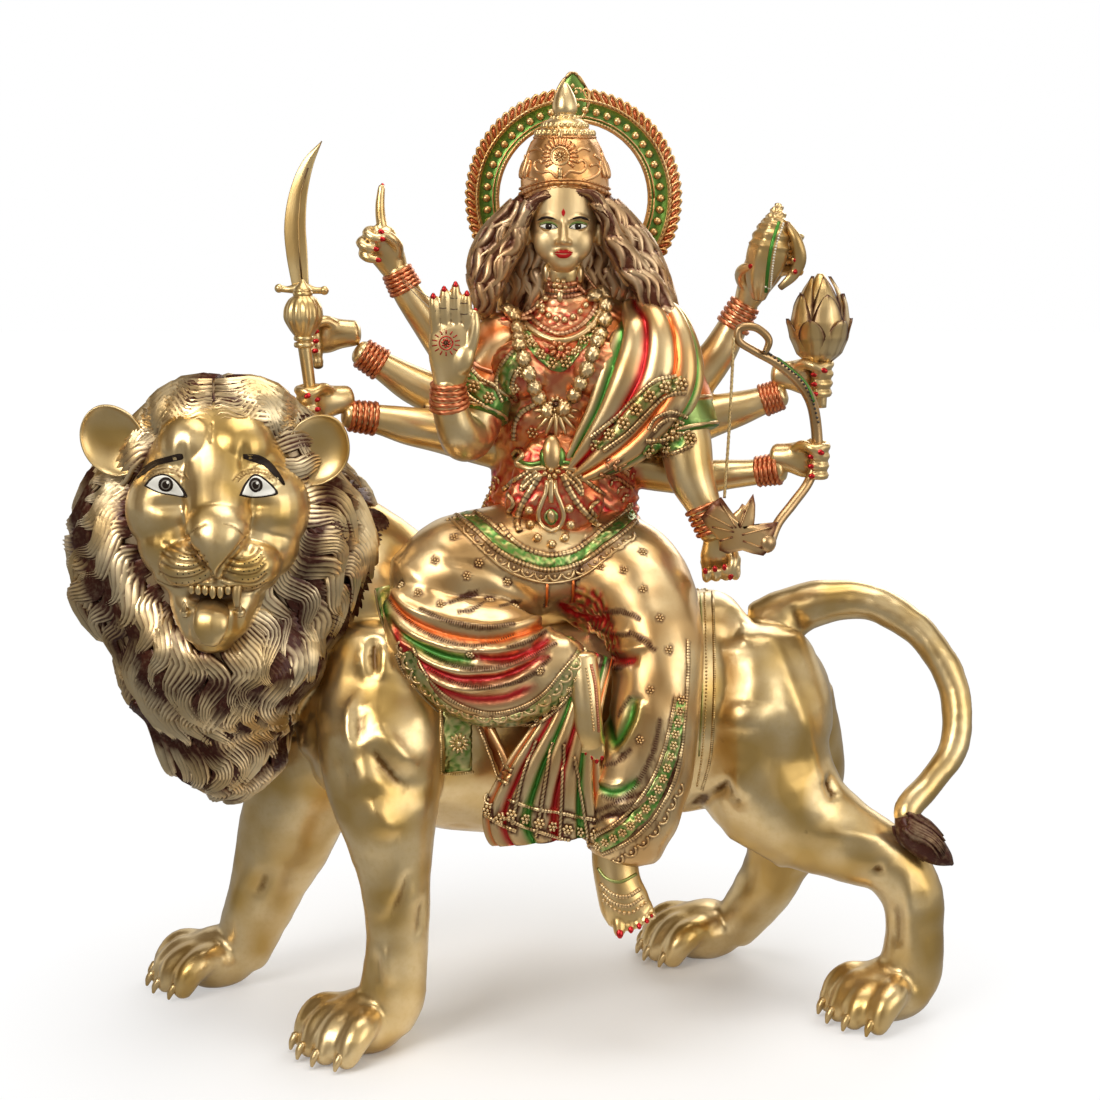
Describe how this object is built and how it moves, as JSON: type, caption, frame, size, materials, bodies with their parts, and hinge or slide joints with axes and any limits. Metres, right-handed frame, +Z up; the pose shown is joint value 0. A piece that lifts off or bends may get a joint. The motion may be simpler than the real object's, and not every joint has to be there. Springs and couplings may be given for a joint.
{
  "type": "durga figure",
  "caption": "Many-armed goddess seated on a striding lion, cast in brass with coloured lacquers, with sword, mace, conch, lotus, bow and a pierced halo; an altar or floor statue.",
  "frame": {"origin": "middle of the statue's footprint box, on the ground between the paws", "axes": "+Z up; the goddess faces -Y; the lion walks towards -X"},
  "size_m": [0.8434, 0.3988, 0.89],
  "materials": {
    "lion_brass": "satin cast brass, hammered, dark brown patina in the mane",
    "dressed_brass": "satin cast brass with red, orange and green lacquer in the folds and ornament",
    "halo_lacquer": "brass with copper-coloured and green lacquer",
    "weapon_brass": "polished brass",
    "bow_lacquer": "brass with green lacquer on the bow and copper-coloured lacquer on its finial"
  },
  "bodies": {
    "root": {"lion": "lion_brass", "goddess": "dressed_brass", "halo": "halo_lacquer", "sword": "weapon_brass", "mace": "weapon_brass", "bow": "bow_lacquer", "bow_string": "weapon_brass"}
  },
  "joints": []
}
